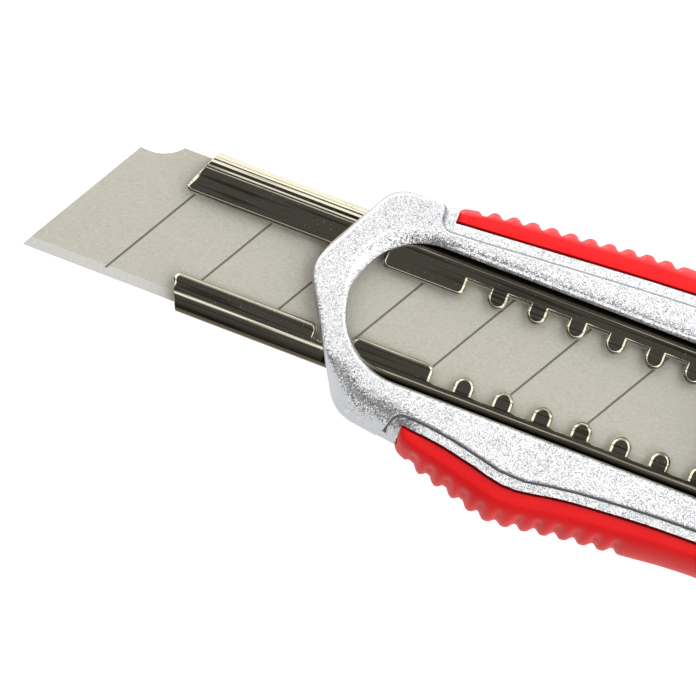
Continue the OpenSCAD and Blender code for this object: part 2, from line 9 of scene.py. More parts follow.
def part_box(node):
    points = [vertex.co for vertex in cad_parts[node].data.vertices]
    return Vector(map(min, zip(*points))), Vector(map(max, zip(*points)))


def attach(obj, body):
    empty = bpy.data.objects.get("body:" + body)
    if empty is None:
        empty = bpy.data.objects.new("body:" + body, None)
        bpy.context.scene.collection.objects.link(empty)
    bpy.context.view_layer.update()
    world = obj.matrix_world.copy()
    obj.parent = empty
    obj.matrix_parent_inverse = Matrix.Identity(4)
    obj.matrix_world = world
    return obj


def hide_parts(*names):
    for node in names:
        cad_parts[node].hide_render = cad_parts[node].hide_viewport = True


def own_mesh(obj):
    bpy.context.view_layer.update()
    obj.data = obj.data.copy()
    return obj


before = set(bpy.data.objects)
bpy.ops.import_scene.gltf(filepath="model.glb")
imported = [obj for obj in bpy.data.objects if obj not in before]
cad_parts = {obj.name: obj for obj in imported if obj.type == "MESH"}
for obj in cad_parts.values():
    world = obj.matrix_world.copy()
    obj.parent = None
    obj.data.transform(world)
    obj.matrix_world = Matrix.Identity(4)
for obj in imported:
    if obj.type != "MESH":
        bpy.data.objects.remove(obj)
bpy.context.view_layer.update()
MM = 0.001

# ---- Places, in millimetres from the nose, the channel's centre line and the back ----

NOSE_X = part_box("face_casting")[0].x
CENTRE_Y = (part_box("blade_channel")[0].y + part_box("blade_channel")[1].y) / 2


def at(x, y, z):
    """A point of the knife in the frame's metres."""
    return Vector((NOSE_X + x * MM, CENTRE_Y + y * MM, z * MM))


def span(node):
    """Lowest and highest corner of a CAD node, in the knife's millimetres."""
    low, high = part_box(node)
    back = [[(p.x - NOSE_X) / MM, (p.y - CENTRE_Y) / MM, p.z / MM] for p in (low, high)]
    return np.array(back[0]), np.array(back[1])


BODY_L, RIM_Z = span("face_casting")[1][0], span("face_casting")[1][2]
JOINT_Z = span("face_casting")[0][2]
HALF = span("blade_channel")[1][1]
CHANNEL_TOP = span("blade_channel")[1][2]
WINDOW_R = HALF - 1.3
WINDOW_X = 5.4 + WINDOW_R


def outline(node, z, up):
    """Lowest and highest y of a CAD node's flat face at height z, every tenth of a millimetre."""
    bm = bmesh.new()
    bm.from_mesh(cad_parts[node].data)
    bmesh.ops.remove_doubles(bm, verts=bm.verts, dist=2e-6)
    level = z * MM
    flat = {f for f in bm.faces
            if up * f.normal.z > 0.99 and all(abs(v.co.z - level) < 1e-5 for v in f.verts)}
    lines = []
    for e in bm.edges:
        if sum(f in flat for f in e.link_faces) == 1:
            pair = [((v.co.x - NOSE_X) / MM, (v.co.y - CENTRE_Y) / MM) for v in e.verts]
            lines.append(sorted(pair))
    bm.free()
    a, b = np.array([p[0] for p in lines]), np.array([p[1] for p in lines])
    xs = np.arange(a[:, 0].min() + 0.02, b[:, 0].max() - 0.02, 0.1)
    low, high = [], []
    for x in xs:
        hit = (a[:, 0] <= x) & (b[:, 0] > x)
        run = (x - a[hit, 0]) / (b[hit, 0] - a[hit, 0])
        ys = a[hit, 1] + run * (b[hit, 1] - a[hit, 1])
        low.append(ys.min())
        high.append(ys.max())
    return np.column_stack([xs, low]), np.column_stack([xs, high])


# ---- Mesh helpers ----


def finish_mesh(bm, name, material, body, sharp_deg=40):
    """Turns a bmesh into a piece that rides on a body."""
    mesh = bpy.data.meshes.new(name)
    bm.to_mesh(mesh)
    bm.free()
    piece = bpy.data.objects.new(name, mesh)
    bpy.context.scene.collection.objects.link(piece)
    mesh.materials.append(material)
    for face in mesh.polygons:
        face.use_smooth = True
    mesh.set_sharp_from_angle(angle=math.radians(sharp_deg))
    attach(piece, body)
    return piece


def loft(sections):
    """A closed skin through sections, which are rings of [x, y, z] points in mm."""
    rings = [section + section[:1] for section in sections]
    along, across = len(rings) - 1, len(rings[0]) - 1
    bm = bmesh.new()
    bmesh.ops.create_grid(bm, x_segments=along, y_segments=across, size=1)
    for v in bm.verts:
        u, w = (v.co.x + 1) / 2, (v.co.y + 1) / 2
        v.co = at(*rings[round(u * along)][round(w * across)])
    bmesh.ops.remove_doubles(bm, verts=bm.verts, dist=1e-7)
    bmesh.ops.holes_fill(bm, edges=[e for e in bm.edges if e.is_boundary], sides=0)
    bmesh.ops.recalc_face_normals(bm, faces=bm.faces)
    return bm


def cut_away(bm, place, facing):
    """Removes all that lies past a plane, and closes the cut."""
    geom = bm.verts[:] + bm.edges[:] + bm.faces[:]
    bmesh.ops.bisect_plane(bm, geom=geom, plane_co=place, plane_no=facing, clear_outer=True)
    bmesh.ops.holes_fill(bm, edges=[e for e in bm.edges if e.is_boundary], sides=0)


def cad_copy(node):
    """A merged copy of a CAD node's mesh, with its flat faces whole again."""
    bm = bmesh.new()
    bm.from_mesh(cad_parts[node].data)
    bmesh.ops.remove_doubles(bm, verts=bm.verts, dist=2e-6)
    bmesh.ops.dissolve_limit(bm, angle_limit=math.radians(0.6), verts=bm.verts, edges=bm.edges)
    return bm


def soften(bm, width, chosen=None, segments=2, angle=32, clamp=True):
    """Rounds the sharp edges of a mesh, or the chosen ones."""
    edges = [
        e for e in bm.edges
        if len(e.link_faces) == 2 and e.calc_face_angle(0) > math.radians(angle)
        and (chosen is None or chosen(e))
    ]
    bmesh.ops.bevel(bm, geom=edges, offset=width * MM, offset_type="OFFSET", segments=segments,
                    profile=0.5, affect="EDGES", clamp_overlap=clamp, material=-1)


def finished_copy(node, name, material, body, width, segments=2, angle=32, bm=None, sharp_deg=40,
                  clamp=True):
    """The piece that stands for a CAD node: its own mesh, or one given, with rounded edges."""
    bm = bm or cad_copy(node)
    soften(bm, width, None, segments, angle, clamp)
    piece = finish_mesh(bm, name, material, body, sharp_deg=sharp_deg)
    even = piece.modifiers.new("flat_faces_stay_flat", "WEIGHTED_NORMAL")
    even.keep_sharp = True
    even.weight = 100
    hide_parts(node)
    return piece


# ---- Materials ----


def hex_colour(code):
    """An sRGB hex colour as linear RGBA."""
    parts = [int(code[i:i + 2], 16) / 255 for i in (0, 2, 4)]
    return tuple(c / 12.92 if c <= 0.04045 else ((c + 0.055) / 1.055) ** 2.4 for c in parts) + (1,)


def add(tree, kind, values=None, links=None, **settings):
    """Adds a node with its settings, socket values and incoming links."""
    node = tree.nodes.new(kind)
    for key, value in settings.items():
        setattr(node, key, value)
    for key, value in (values or {}).items():
        node.inputs[key].default_value = value
    for key, source in (links or {}).items():
        tree.links.new(source, node.inputs[key])
    return node


def new_material(name, **shader_values):
    """A material with its tree, its shader and Object coordinates."""
    material = bpy.data.materials.new(name)
    material.use_nodes = True
    tree = material.node_tree
    shader = tree.nodes["Principled BSDF"]
    for key, value in shader_values.items():
        shader.inputs[key.replace("_", " ").title().replace("Ior", "IOR")].default_value = value
    where = add(tree, "ShaderNodeTexCoord").outputs["Object"]
    return material, tree, shader, where


def ramp(tree, source, stops, interpolation="LINEAR"):
    """A colour ramp; each stop is (position, sRGB hex or grey level)."""
    node = add(tree, "ShaderNodeValToRGB", links={"Fac": source})
    node.color_ramp.interpolation = interpolation
    elements = node.color_ramp.elements
    while len(elements) < len(stops):
        elements.new(0.5)
    for element, (position, colour) in zip(elements, stops):
        element.position = position
        grey = not isinstance(colour, str)
        element.color = (colour, colour, colour, 1) if grey else hex_colour(colour)
    return node.outputs["Color"]


def mix(tree, share, low, high, blend):
    """Two colours blended by a share, which is a number or a socket."""
    values, links = {}, {6: low, 7: high}
    (links if isinstance(share, bpy.types.NodeSocket) else values)[0] = share
    return add(tree, "ShaderNodeMix", values, links, data_type="RGBA", blend_type=blend).outputs[2]


def silver_paint():
    """Die-cast zinc under fine metallic lacquer: aluminium flakes glint or go dark one by one."""
    material, tree, shader, where = new_material("die_cast_metallic_lacquer", metallic=1.0)
    flakes = add(tree, "ShaderNodeTexVoronoi", {"Scale": 1 / (0.1 * MM)}, {"Vector": where})
    cloud = add(tree, "ShaderNodeTexNoise", {"Scale": 1 / (6 * MM), "Detail": 3}, {"Vector": where})
    chance = add(tree, "ShaderNodeSeparateColor", links={"Color": flakes.outputs["Color"]})
    tone = ramp(tree, chance.outputs["Red"],
                [(0.0, "64676C"), (0.08, "BABCBF"), (0.18, "F6F6F7"), (1.0, "FCFCFD")])
    patches = ramp(tree, cloud.outputs["Fac"], [(0.35, "D8DADD"), (0.65, "FFFFFF")])
    mixed = mix(tree, 0.15, tone, patches, "MULTIPLY")
    # Painted shade: the steep sides get a darker grey than the top, duller, and with hardly a flake
    # to be seen.
    face = add(tree, "ShaderNodeNewGeometry")
    up = add(tree, "ShaderNodeSeparateXYZ", links={"Vector": face.outputs["Normal"]}).outputs["Z"]
    unshaded_top_share = ramp(tree, up, [(0.6, 0.0), (0.7, 1.0)])
    side = ramp(tree, cloud.outputs["Fac"], [(0.35, "B4B6B9"), (0.65, "BFC1C4")])
    paint_with_shaded_sides = mix(tree, unshaded_top_share, side, mixed, "MIX")
    tree.links.new(paint_with_shaded_sides, shader.inputs["Base Color"])
    tree.links.new(ramp(tree, cloud.outputs["Fac"], [(0.3, 0.32), (0.7, 0.4)]),
                   shader.inputs["Roughness"])
    # Each flake leans its own way, and all of them a little with the flow of the spray.
    lean = add(tree, "ShaderNodeVectorMath", {1: (0.42, 0.25, 0.5)}, {0: flakes.outputs["Color"]},
               operation="SUBTRACT")
    reach = add(tree, "ShaderNodeMapRange", {"To Min": 0.06, "To Max": 0.55}, {"Value": unshaded_top_share})
    small = add(tree, "ShaderNodeVectorMath", links={0: lean.outputs[0], "Scale": reach.outputs[0]},
                operation="SCALE")
    sum_up = add(tree, "ShaderNodeVectorMath", operation="ADD",
                 links={0: face.outputs["Normal"], 1: small.outputs[0]})
    unit = add(tree, "ShaderNodeVectorMath", operation="NORMALIZE", links={0: sum_up.outputs[0]})
    tree.links.new(unit.outputs[0], shader.inputs["Normal"])
    return material


def moulded_rubber(name, colour, deep):
    """Injection-moulded TPR: satin skin, slightly translucent where it is thin."""
    material, tree, shader, where = new_material(
        name, roughness=0.5, subsurface_weight=0.1, subsurface_scale=1.0 * MM,
        specular_ior_level=0.28)
    shader.inputs["Subsurface Radius"].default_value = (1.0, 0.25, 0.2)
    cloud = add(tree, "ShaderNodeTexNoise", {"Scale": 1 / (4 * MM), "Detail": 4}, {"Vector": where})
    tree.links.new(ramp(tree, cloud.outputs["Fac"], [(0.3, deep), (0.7, colour)]),
                   shader.inputs["Base Color"])
    grain = add(tree, "ShaderNodeTexNoise", {"Scale": 1 / (0.25 * MM), "Detail": 3},
                {"Vector": where})
    bump = add(tree, "ShaderNodeBump", {"Strength": 0.18, "Distance": 0.03 * MM},
               {"Height": grain.outputs["Fac"]})
    tree.links.new(bump.outputs["Normal"], shader.inputs["Normal"])
    return material


# Places where the plated steel gets painted shade:
FOOT_Y = (-9.6, -8.6)   # the outer foot of the channel's bend on the edge side, in mm
BEND_Y = (7.4, 8.2)   # where the channel's bends start, from the centre line
MOUTH_X = 5   # the handle covers the channel from here on


def plated_steel(name, colour, dull, roughness):
    """Bright nickel plate on pressed steel: mirror-like, with drawn lines and sparse pinholes."""
    material, tree, shader, where = new_material(name, metallic=1.0)
    pits = add(tree, "ShaderNodeTexNoise", {"Scale": 1 / (0.3 * MM), "Detail": 3},
               {"Vector": where})
    drawn = add(tree, "ShaderNodeMapping", {"Scale": (0.02, 1, 1)}, {"Vector": where})
    lines = add(tree, "ShaderNodeTexNoise", {"Scale": 1 / (0.35 * MM), "Detail": 3},
                {"Vector": drawn.outputs["Vector"]})
    wave = add(tree, "ShaderNodeTexNoise", {"Scale": 1 / (3 * MM), "Detail": 2}, {"Vector": where})
    spots = ramp(tree, pits.outputs["Fac"], [(0.68, colour), (0.74, dull)])
    streak = ramp(tree, lines.outputs["Fac"], [(0.38, "4A483F"), (0.46, "FFFFFF")])
    mixed = mix(tree, 0.6, spots, streak, "MULTIPLY")
    # Painted shade: the colour is darkened at the outer foot of the bends and in the bends inside
    # the handle.
    place = add(tree, "ShaderNodeSeparateXYZ", links={"Vector": where})
    across = add(tree, "ShaderNodeMath", {1: CENTRE_Y}, {0: place.outputs["Y"]},
                 operation="SUBTRACT")
    outer = add(tree, "ShaderNodeMapRange",
                {"From Min": FOOT_Y[0] * MM, "From Max": FOOT_Y[1] * MM},
                {"Value": across.outputs[0]})
    foot = ramp(tree, outer.outputs["Result"], [(0.0, 1.0), (1.0, 0.0)])
    far = add(tree, "ShaderNodeMath", operation="ABSOLUTE", links={0: across.outputs[0]})
    bends = add(tree, "ShaderNodeMapRange",
                {"From Min": BEND_Y[0] * MM, "From Max": BEND_Y[1] * MM},
                {"Value": far.outputs[0]})
    inside = add(tree, "ShaderNodeMath", {1: NOSE_X + MOUTH_X * MM}, {0: place.outputs["X"]},
                 operation="GREATER_THAN")
    hidden = add(tree, "ShaderNodeMath", operation="MULTIPLY",
                 links={0: bends.outputs["Result"], 1: inside.outputs[0]})
    low = add(tree, "ShaderNodeMath", operation="MAXIMUM", links={0: foot, 1: hidden.outputs[0]})
    painted_shade = ramp(tree, low.outputs[0], [(0.0, "FFFFFF"), (1.0, "5A5348")])
    tree.links.new(mix(tree, 1.0, mixed, painted_shade, "MULTIPLY"), shader.inputs["Base Color"])
    tree.links.new(ramp(tree, pits.outputs["Fac"], [(0.66, roughness), (0.74, roughness + 0.3)]),
                   shader.inputs["Roughness"])
    bump = add(tree, "ShaderNodeBump", {"Strength": 0.1, "Distance": 0.02 * MM},
               {"Height": lines.outputs["Fac"]})
    sway = add(tree, "ShaderNodeBump", {"Strength": 0.12, "Distance": 0.05 * MM},
               {"Height": wave.outputs["Fac"], "Normal": bump.outputs["Normal"]})
    tree.links.new(sway.outputs["Normal"], shader.inputs["Normal"])
    return material


def ground_steel(name, colour, dark, roughness, stretch, metallic=1.0):
    """Cold-rolled, ground steel strip: fine grain drawn out along the direction of grinding."""
    material, tree, shader, where = new_material(name, metallic=metallic)
    drawn = add(tree, "ShaderNodeMapping", {"Scale": stretch}, {"Vector": where})
    grain = add(tree, "ShaderNodeTexNoise", {"Scale": 1 / (0.12 * MM), "Detail": 3},
                {"Vector": drawn.outputs["Vector"]})
    tree.links.new(ramp(tree, grain.outputs["Fac"], [(0.3, dark), (0.7, colour)]),
                   shader.inputs["Base Color"])
    tree.links.new(ramp(tree, grain.outputs["Fac"], [(0.3, roughness), (0.7, roughness + 0.08)]),
                   shader.inputs["Roughness"])
    bump = add(tree, "ShaderNodeBump", {"Strength": 0.3, "Distance": 0.015 * MM},
               {"Height": grain.outputs["Fac"]})
    tree.links.new(bump.outputs["Normal"], shader.inputs["Normal"])
    return material


def seam_shade_paint(name, light, dark):
    """Painted shade: a grainy grey that stands in for the shade in a seam of the casting."""
    material, tree, shader, where = new_material(name, roughness=0.8)
    grain = add(tree, "ShaderNodeTexNoise", {"Scale": 1 / (0.12 * MM), "Detail": 3},
                {"Vector": where})
    tree.links.new(ramp(tree, grain.outputs["Fac"], [(0.35, dark), (0.65, light)]),
                   shader.inputs["Base Color"])
    bump = add(tree, "ShaderNodeBump", {"Strength": 0.3, "Distance": 0.03 * MM},
               {"Height": grain.outputs["Fac"]})
    tree.links.new(bump.outputs["Normal"], shader.inputs["Normal"])
    return material


def moulded_plastic():
    """Injection-moulded ABS with a fine spark-eroded grain."""
    material, tree, shader, where = new_material("moulded_abs_spark_grain", roughness=0.48)
    grain = add(tree, "ShaderNodeTexNoise", {"Scale": 1 / (0.2 * MM), "Detail": 3},
                {"Vector": where})
    tree.links.new(ramp(tree, grain.outputs["Fac"], [(0.3, "1D1E20"), (0.7, "2C2D30")]),
                   shader.inputs["Base Color"])
    bump = add(tree, "ShaderNodeBump", {"Strength": 0.35, "Distance": 0.04 * MM},
               {"Height": grain.outputs["Fac"]})
    tree.links.new(bump.outputs["Normal"], shader.inputs["Normal"])
    return material


SILVER = silver_paint()
RED = moulded_rubber("moulded_tpr_red", "E61417", "DC1014")
PAD_RED = moulded_rubber("moulded_tpr_pad", "D8262A", "C91C22")
NICKEL = plated_steel("nickel_plated_pressed_steel", "D8D1BC", "8A8470", 0.06)
ZINC = plated_steel("zinc_plated_hardware", "B9BBBD", "8C8E90", 0.25)
BLADE = ground_steel("ground_carbon_steel_blade", "CECBBF", "BAB7AA", 0.5, (0.25, 1, 1), 0.55)
BEVEL = ground_steel("ground_cutting_bevel", "F0EFEA", "E2E0D8", 0.4, (1, 0.1, 1), 0.35)
# Painted shade: the darker steel in the score lines stands in for the shade in their pressed
# grooves.
SCORE_SHADE = ground_steel("score_line_painted_shade", "8E8B80", "7A7666", 0.6, (1, 1, 1), 0.5)
SPRING = ground_steel("rolled_spring_steel", "A8AAAC", "8E9092", 0.3, (1, 0.15, 1))
BLACK = moulded_plastic()
# Painted shade in the seams: the edge side's is darker, as that step faces away from the light.
SPINE_SEAM_SHADE = seam_shade_paint("painted_shade_in_spine_seam", "A2A4A8", "7E8084")
EDGE_SEAM_SHADE = seam_shade_paint("painted_shade_in_edge_seam", "6E7074", "44464A")

# ---- Handle ----

spine_in, spine_out = outline("spine_grip", span("spine_grip")[1][2], 1)
edge_out, edge_in = outline("edge_grip", span("edge_grip")[1][2], 1)
body_low, body_high = outline("face_casting", JOINT_Z, -1)


def line_y(line, x):
    return float(np.interp(x, line[:, 0], line[:, 1]))


def rounded_path(points, steps=7):
    """An open path through [x, y, radius] corners, with each corner an arc."""
    path = []
    for i, (x, y, r) in enumerate(points):
        here = Vector((x, y))
        if r == 0 or i in (0, len(points) - 1):
            path.append(here)
            continue
        u = (Vector(points[i - 1][:2]) - here).normalized()
        v = (Vector(points[i + 1][:2]) - here).normalized()
        turn = u.angle(v) / 2
        centre = here + (u + v).normalized() * (r / math.sin(turn))
        a = here + u * (r / math.tan(turn)) - centre
        b = here + v * (r / math.tan(turn)) - centre
        sweep = a.angle_signed(b)
        for k in range(steps + 1):
            path.append(centre + Matrix.Rotation(-sweep * k / steps, 2) @ a)
    return path


def even_path(path, step):
    """The same path with points about a step apart."""
    out = [path[0]]
    for p, q in zip(path, path[1:]):
        n = max(1, round((q - p).length / step))
        out += [p.lerp(q, k / n) for k in range(1, n + 1)]
    return out


STRIP = 1.3   # width of the lower border strip beside each grip
REVEAL = 0.35   # how far the lower layer shows round the band behind the grips
GRIP0_S, GRIP1 = spine_in[0, 0], spine_in[-1, 0]
GRIP0_E = edge_in[0, 0]


def rail_points(line, x0, x1, shift):
    xs = np.linspace(x0, x1, 24)
    return [(x, line_y(line, x) + shift, 0) for x in xs]


def band_outline():
    """Outer edge of the raised band round the window, from the spine's rear end to the other."""
    tail = np.linspace(GRIP1 + 4, BODY_L - 0.05, 12)
    points = [(x, line_y(body_high, x) - REVEAL, 0) for x in tail[::-1]]
    points += [(GRIP1 + STRIP, line_y(body_high, GRIP1 + 2) - REVEAL, 1.2),
               (GRIP1 + STRIP - 0.3, line_y(spine_in, GRIP1) - STRIP, 1.2)]
    points += rail_points(spine_in, GRIP1 - 4, GRIP0_S + 3, -STRIP)
    points += [(GRIP0_S - STRIP - 0.3, line_y(spine_in, GRIP0_S) - STRIP, 1.6),
               (GRIP0_S - STRIP - 0.6, HALF + 3.6, 0.5),
               (6.1, HALF + 3.7, 4), (-0.66, 1.4, 4.5), (8.6, -HALF - 4.7, 5),
               (GRIP0_E - STRIP - 0.9, -HALF - 5.6, 0.6),
               (GRIP0_E - STRIP + 0.1, line_y(edge_in, GRIP0_E) + STRIP, 1.6)]
    points += rail_points(edge_in, GRIP0_E + 3, GRIP1 - 4, STRIP)
    points += [(GRIP1 + STRIP - 0.3, line_y(edge_in, GRIP1) + STRIP, 1.2),
               (GRIP1 + STRIP, line_y(body_low, GRIP1 + 2) + REVEAL, 1.2)]
    points += [(x, line_y(body_low, x) + REVEAL, 0) for x in tail]
    return even_path(rounded_path(points), 0.45)


NOSE_SLOPE_X, NOSE_SLOPE_L, NOSE_FALL = 16, 18, 2.2   # where the top starts to fall, and how far


def rim_height(x):
    """The handle's top slopes down over the nose."""
    return RIM_Z - NOSE_FALL * min(1, max(0, (NOSE_SLOPE_X - x) / NOSE_SLOPE_L))


def ease(t):
    """From 0 to 1 with a soft start and end."""
    t = min(1.0, max(0.0, t))
    return t * t * (3 - 2 * t)


def band_section(outer):
    """Closed section of the raised band at one point of its outer edge, as points in mm."""
    side = 1 if outer.y > 0 else -1
    if outer.x >= WINDOW_X:
        inner = Vector((outer.x, side * WINDOW_R))
    else:
        centre = Vector((WINDOW_X, 0))
        inner = centre + (outer - centre).normalized() * WINDOW_R
    width = (outer - inner).length
    way = (outer - inner) / width
    nose = ease((13 - outer.x) / 8)
    soft = ease((outer.y + 3) / 8)   # the spine side falls softly to the window
    round_in = 0.6 + 1.1 * soft
    round_out = (0.35 if side > 0 else 0.55) + 0.35 * nose
    drop_out = 0.35 + 0.55 * nose
    bottom = CHANNEL_TOP + 0.08 if abs(outer.y) < HALF + 0.05 else JOINT_Z
    deep = min(HALF - WINDOW_R + 0.05, width * 0.5)

    def top(d):
        return rim_height((inner + way * d).x)

    arc = [math.radians(90 * k / 10) for k in range(11)]
    drop_in = [(1 - soft) * round_in * (1 - math.sin(a)) + soft * 0.8 * math.cos(a) ** 2
               for a in arc]
    pts = [(0, CHANNEL_TOP + 0.1), (0, (CHANNEL_TOP + top(0) - drop_in[0]) / 2)]
    pts += [(round_in * (1 - math.cos(a)), top(0) - d) for a, d in zip(arc, drop_in)]
    flat = width - round_out - round_in
    pts += [(round_in + flat * k / 10, top(round_in + flat * k / 10)) for k in range(1, 10)]
    for a in arc:
        d = width - round_out * (1 - math.sin(a))
        pts.append((d, top(d) - drop_out * (1 - math.sqrt(1 - min(1, math.sin(a) ** 2.4)))))
    pts += [(width, (bottom + top(width) - drop_out) / 2), (width, bottom), (deep, bottom),
            (deep, CHANNEL_TOP + 0.08)]
    return [(inner.x + way.x * d, inner.y + way.y * d, z) for d, z in pts]


FLANK = rounded_path([(-0.66, 1.4, 0), (8.6, -HALF - 4.7, 5),
                      (GRIP0_E - STRIP - 0.9, -HALF - 5.6, 8), (GRIP0_E + 14, -HALF - 6.2, 0)], 60)
FLANK_W, CROWN_W = 1.9, 4.1   # steep outer flank of the nose, and the crown that leads into it
FLANK_DROP, CROWN_DROP = 2.6, 2.0


def lower_flank(bm):
    """Slopes the handle's top down to its lower front flank: a soft crown, then a steep side."""
    base = (JOINT_Z + 0.5) * MM
    starts, runs = np.array(FLANK[:-1]), np.diff(np.array(FLANK), axis=0)
    for v in bm.verts:
        x, y = (v.co.x - NOSE_X) / MM, (v.co.y - CENTRE_Y) / MM
        share = ease((-7.5 - y) / 4) * ease((21 - x) / 6)
        if share == 0 or v.co.z < base:
            continue
        off = np.array((x, y)) - starts
        t = np.clip((off * runs).sum(1) / (runs * runs).sum(1), 0, 1)
        gap = float(np.hypot(*(off - runs * t[:, None]).T).min())
        flank_w = FLANK_W * (0.35 + 0.65 * ease((-9.5 - y) / 4))
        crown = min(1.0, max(0.0, (flank_w + CROWN_W - gap) / CROWN_W))
        steep = max(0.0, flank_w - gap) / FLANK_W
        drop = share * (CROWN_DROP * crown ** 2 + FLANK_DROP * steep)
        v.co.z -= drop * MM * (v.co.z - base) / (RIM_Z * MM - base)


LAYER_X, SLOPE_END_X = 11.9, 21.2   # front end of the lower layer, and end of its sloped part
STEP_SPINE, STEP_EDGE = 0.3, 0.5   # how far the lower strip lies under the band


def lower_layer():
    """The casting's own mesh behind the nose, lower than the band and finely cut at the slope."""
    lower = cad_copy("face_casting")
    cut_away(lower, at(LAYER_X, 0, 0), (-1, 0, 0))
    cuts = [(at(x, 0, 0), (1, 0, 0)) for x in np.arange(LAYER_X + 0.5, SLOPE_END_X, 0.4)]
    cuts += [(at(0, y, 0), (0, 1, 0)) for y in np.arange(-16.0, -7.9, 0.4)]
    end = at(SLOPE_END_X, 0, 0).x
    for place, facing in cuts:
        geom = [f for f in lower.faces if min(v.co.x for v in f.verts) < end]
        geom += list({e for f in geom for e in f.edges}) + list({v for f in geom for v in f.verts})
        bmesh.ops.bisect_plane(lower, geom=geom, plane_co=place, plane_no=facing)
    centre = at(WINDOW_X, 0, 0)
    for v in lower.verts:
        if v.co.z > (RIM_Z - 1.1) * MM:
            fall = RIM_Z - rim_height((v.co.x - NOSE_X) / MM)
            v.co.z -= (fall + (STEP_SPINE if v.co.y > CENTRE_Y else STEP_EDGE)) * MM
        off = Vector((min(0, v.co.x - centre.x), v.co.y - centre.y, 0))
        if off.length < (WINDOW_R + 0.05) * MM:
            v.co += off.normalized() * 0.3 * MM
        v.co.x = min(v.co.x, at(BODY_L - 0.1, 0, 0).x)
    soften(lower, 0.15, chosen=lambda e: min(v.co.z for v in e.verts) > (RIM_Z - 2.5) * MM)
    return lower


def face_casting():
    """The raised band, and under it the lower layer that forms the strip beside the grips."""
    bm = loft([band_section(p) for p in band_outline()])
    lower = lower_layer()
    spare = bpy.data.meshes.new("lower_layer")
    lower.to_mesh(spare)
    lower.free()
    bm.from_mesh(spare)
    bpy.data.meshes.remove(spare)
    lower_flank(bm)
    piece = finish_mesh(bm, "front_shell", SILVER, "handle")
    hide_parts("face_casting")
    return piece


def seam(side, half_width, material, name):
    """The foot of the step between the raised band and the lower strip, as a thin bead in painted
    shade.
    """
    path = [p for p in band_outline() if side * p.y > 0 and p.x < GRIP1 + 1
            and side * p.y < HALF + 7 and p.x > (GRIP0_S if side > 0 else GRIP0_E) - STRIP - 0.9]
    if side < 0:
        path = [p for p in path if p.x > GRIP0_E - STRIP - 0.7 or p.y > -HALF - 4.6]
    drop = STEP_SPINE if side > 0 else STEP_EDGE
    sections = []
    for i, p in enumerate(path):
        along = (path[min(i + 1, len(path) - 1)] - path[max(i - 1, 0)]).normalized()
        out = Vector((-along.y, along.x))
        out = out if side * out.y > -0.2 else -out
        z = rim_height(p.x) - drop
        blob = 1.4 * max(0.0, 1 - i / 2) if side < 0 else 0   # the painted shade widens at the front end
        wide = half_width * (1 + blob)
        corners = [(-0.3, z - 0.3), (-0.3, z + drop - 0.12), (0.02, z + drop - 0.14),
                   (wide, z + 0.02), (wide, z - 0.3)]
        sections.append([(p.x + out.x * d, p.y + out.y * d, h) for d, h in corners])
    bm = loft(sections)
    lower_flank(bm)
    return finish_mesh(bm, name, material, "handle", sharp_deg=30)


RIB_DEPTH = 0.7
FACE_DEG = 28   # the round of a grip starts this steeply beside its flat face


def grip(node, inner, outer, side, name):
    """A rubber inlay: flat beside the casting, then a full round with ribs that fade upwards."""
    z0, z1 = span(node)[0][2], span(node)[1][2]
    zc, h = (z0 + z1) / 2, (z1 - z0) / 2
    x0, x1 = inner[0, 0], inner[-1, 0]
    xs = np.unique(np.concatenate([
        x0 + (1 - np.cos(np.linspace(0, math.pi / 2, 9))) * 1.2,
        np.arange(x0 + 1.3, x1 - 1.3, 0.3),
        x1 - (1 - np.cos(np.linspace(0, math.pi / 2, 9))) * 1.2]))
    fine = np.arange(x0, x1, 0.1)
    real = side * np.interp(fine, outer[:, 0], outer[:, 1])
    reach = 13   # samples, just over half a rib pitch
    envelope = np.array([real[max(0, i - reach):i + reach + 1].max() for i in range(len(real))])
    smooth = np.convolve(np.pad(envelope, 12, mode="edge"), np.ones(25) / 25, mode="valid")
    m = 44
    end_r = 1.2

    def section(x):
        y_in = side * line_y(inner, x)
        y_rib = side * line_y(outer, x)
        y_full = max(float(np.interp(x, fine, smooth)), y_rib)
        near = min(x - x0, x1 - x)
        shrink = 1.0 if near > end_r else math.sqrt(max(0, 1 - (1 - near / end_r) ** 2))
        lobe = max(0.0, min(1.0, (y_full - y_rib) / RIB_DEPTH)) ** 1.9
        full = y_full - y_in
        flat = (0.58 if side > 0 else 0.36) * full
        pts = [(y_in, z0 + 0.6 * (1 - shrink))]
        start = math.sin(math.radians(FACE_DEG))
        for k in range(m):
            f = math.radians(-90 + 180 * k / (m - 1))
            rise = (1 - abs(f) / (math.pi / 2)) * math.radians(90 - FACE_DEG)
            f = math.copysign(math.radians(FACE_DEG) + rise, f)
            t = (math.sin(abs(f)) - start) / (1 - start)
            fade = min(1.0, max(0.0, (t - 0.25) / 0.55))
            y = y_in + flat + (full - flat) * t - lobe * RIB_DEPTH * ease(fade)
            y = y_in + (y - y_in) * (0.72 + 0.28 * shrink)
            s = math.copysign(math.cos(abs(f)) / math.cos(math.radians(FACE_DEG)), f)
            pts.append((y, zc + h * s * (0.85 + 0.15 * shrink)))
        pts += [(y_in + 0.35, z1 - 0.02), (y_in + 0.22, z1 - 0.5), (y_in, z1 - 0.9)]
        return [(x, side * y, z) for y, z in pts]

    piece = finish_mesh(loft([section(x) for x in xs]), name, RED, "handle", sharp_deg=60)
    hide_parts(node)
    return piece


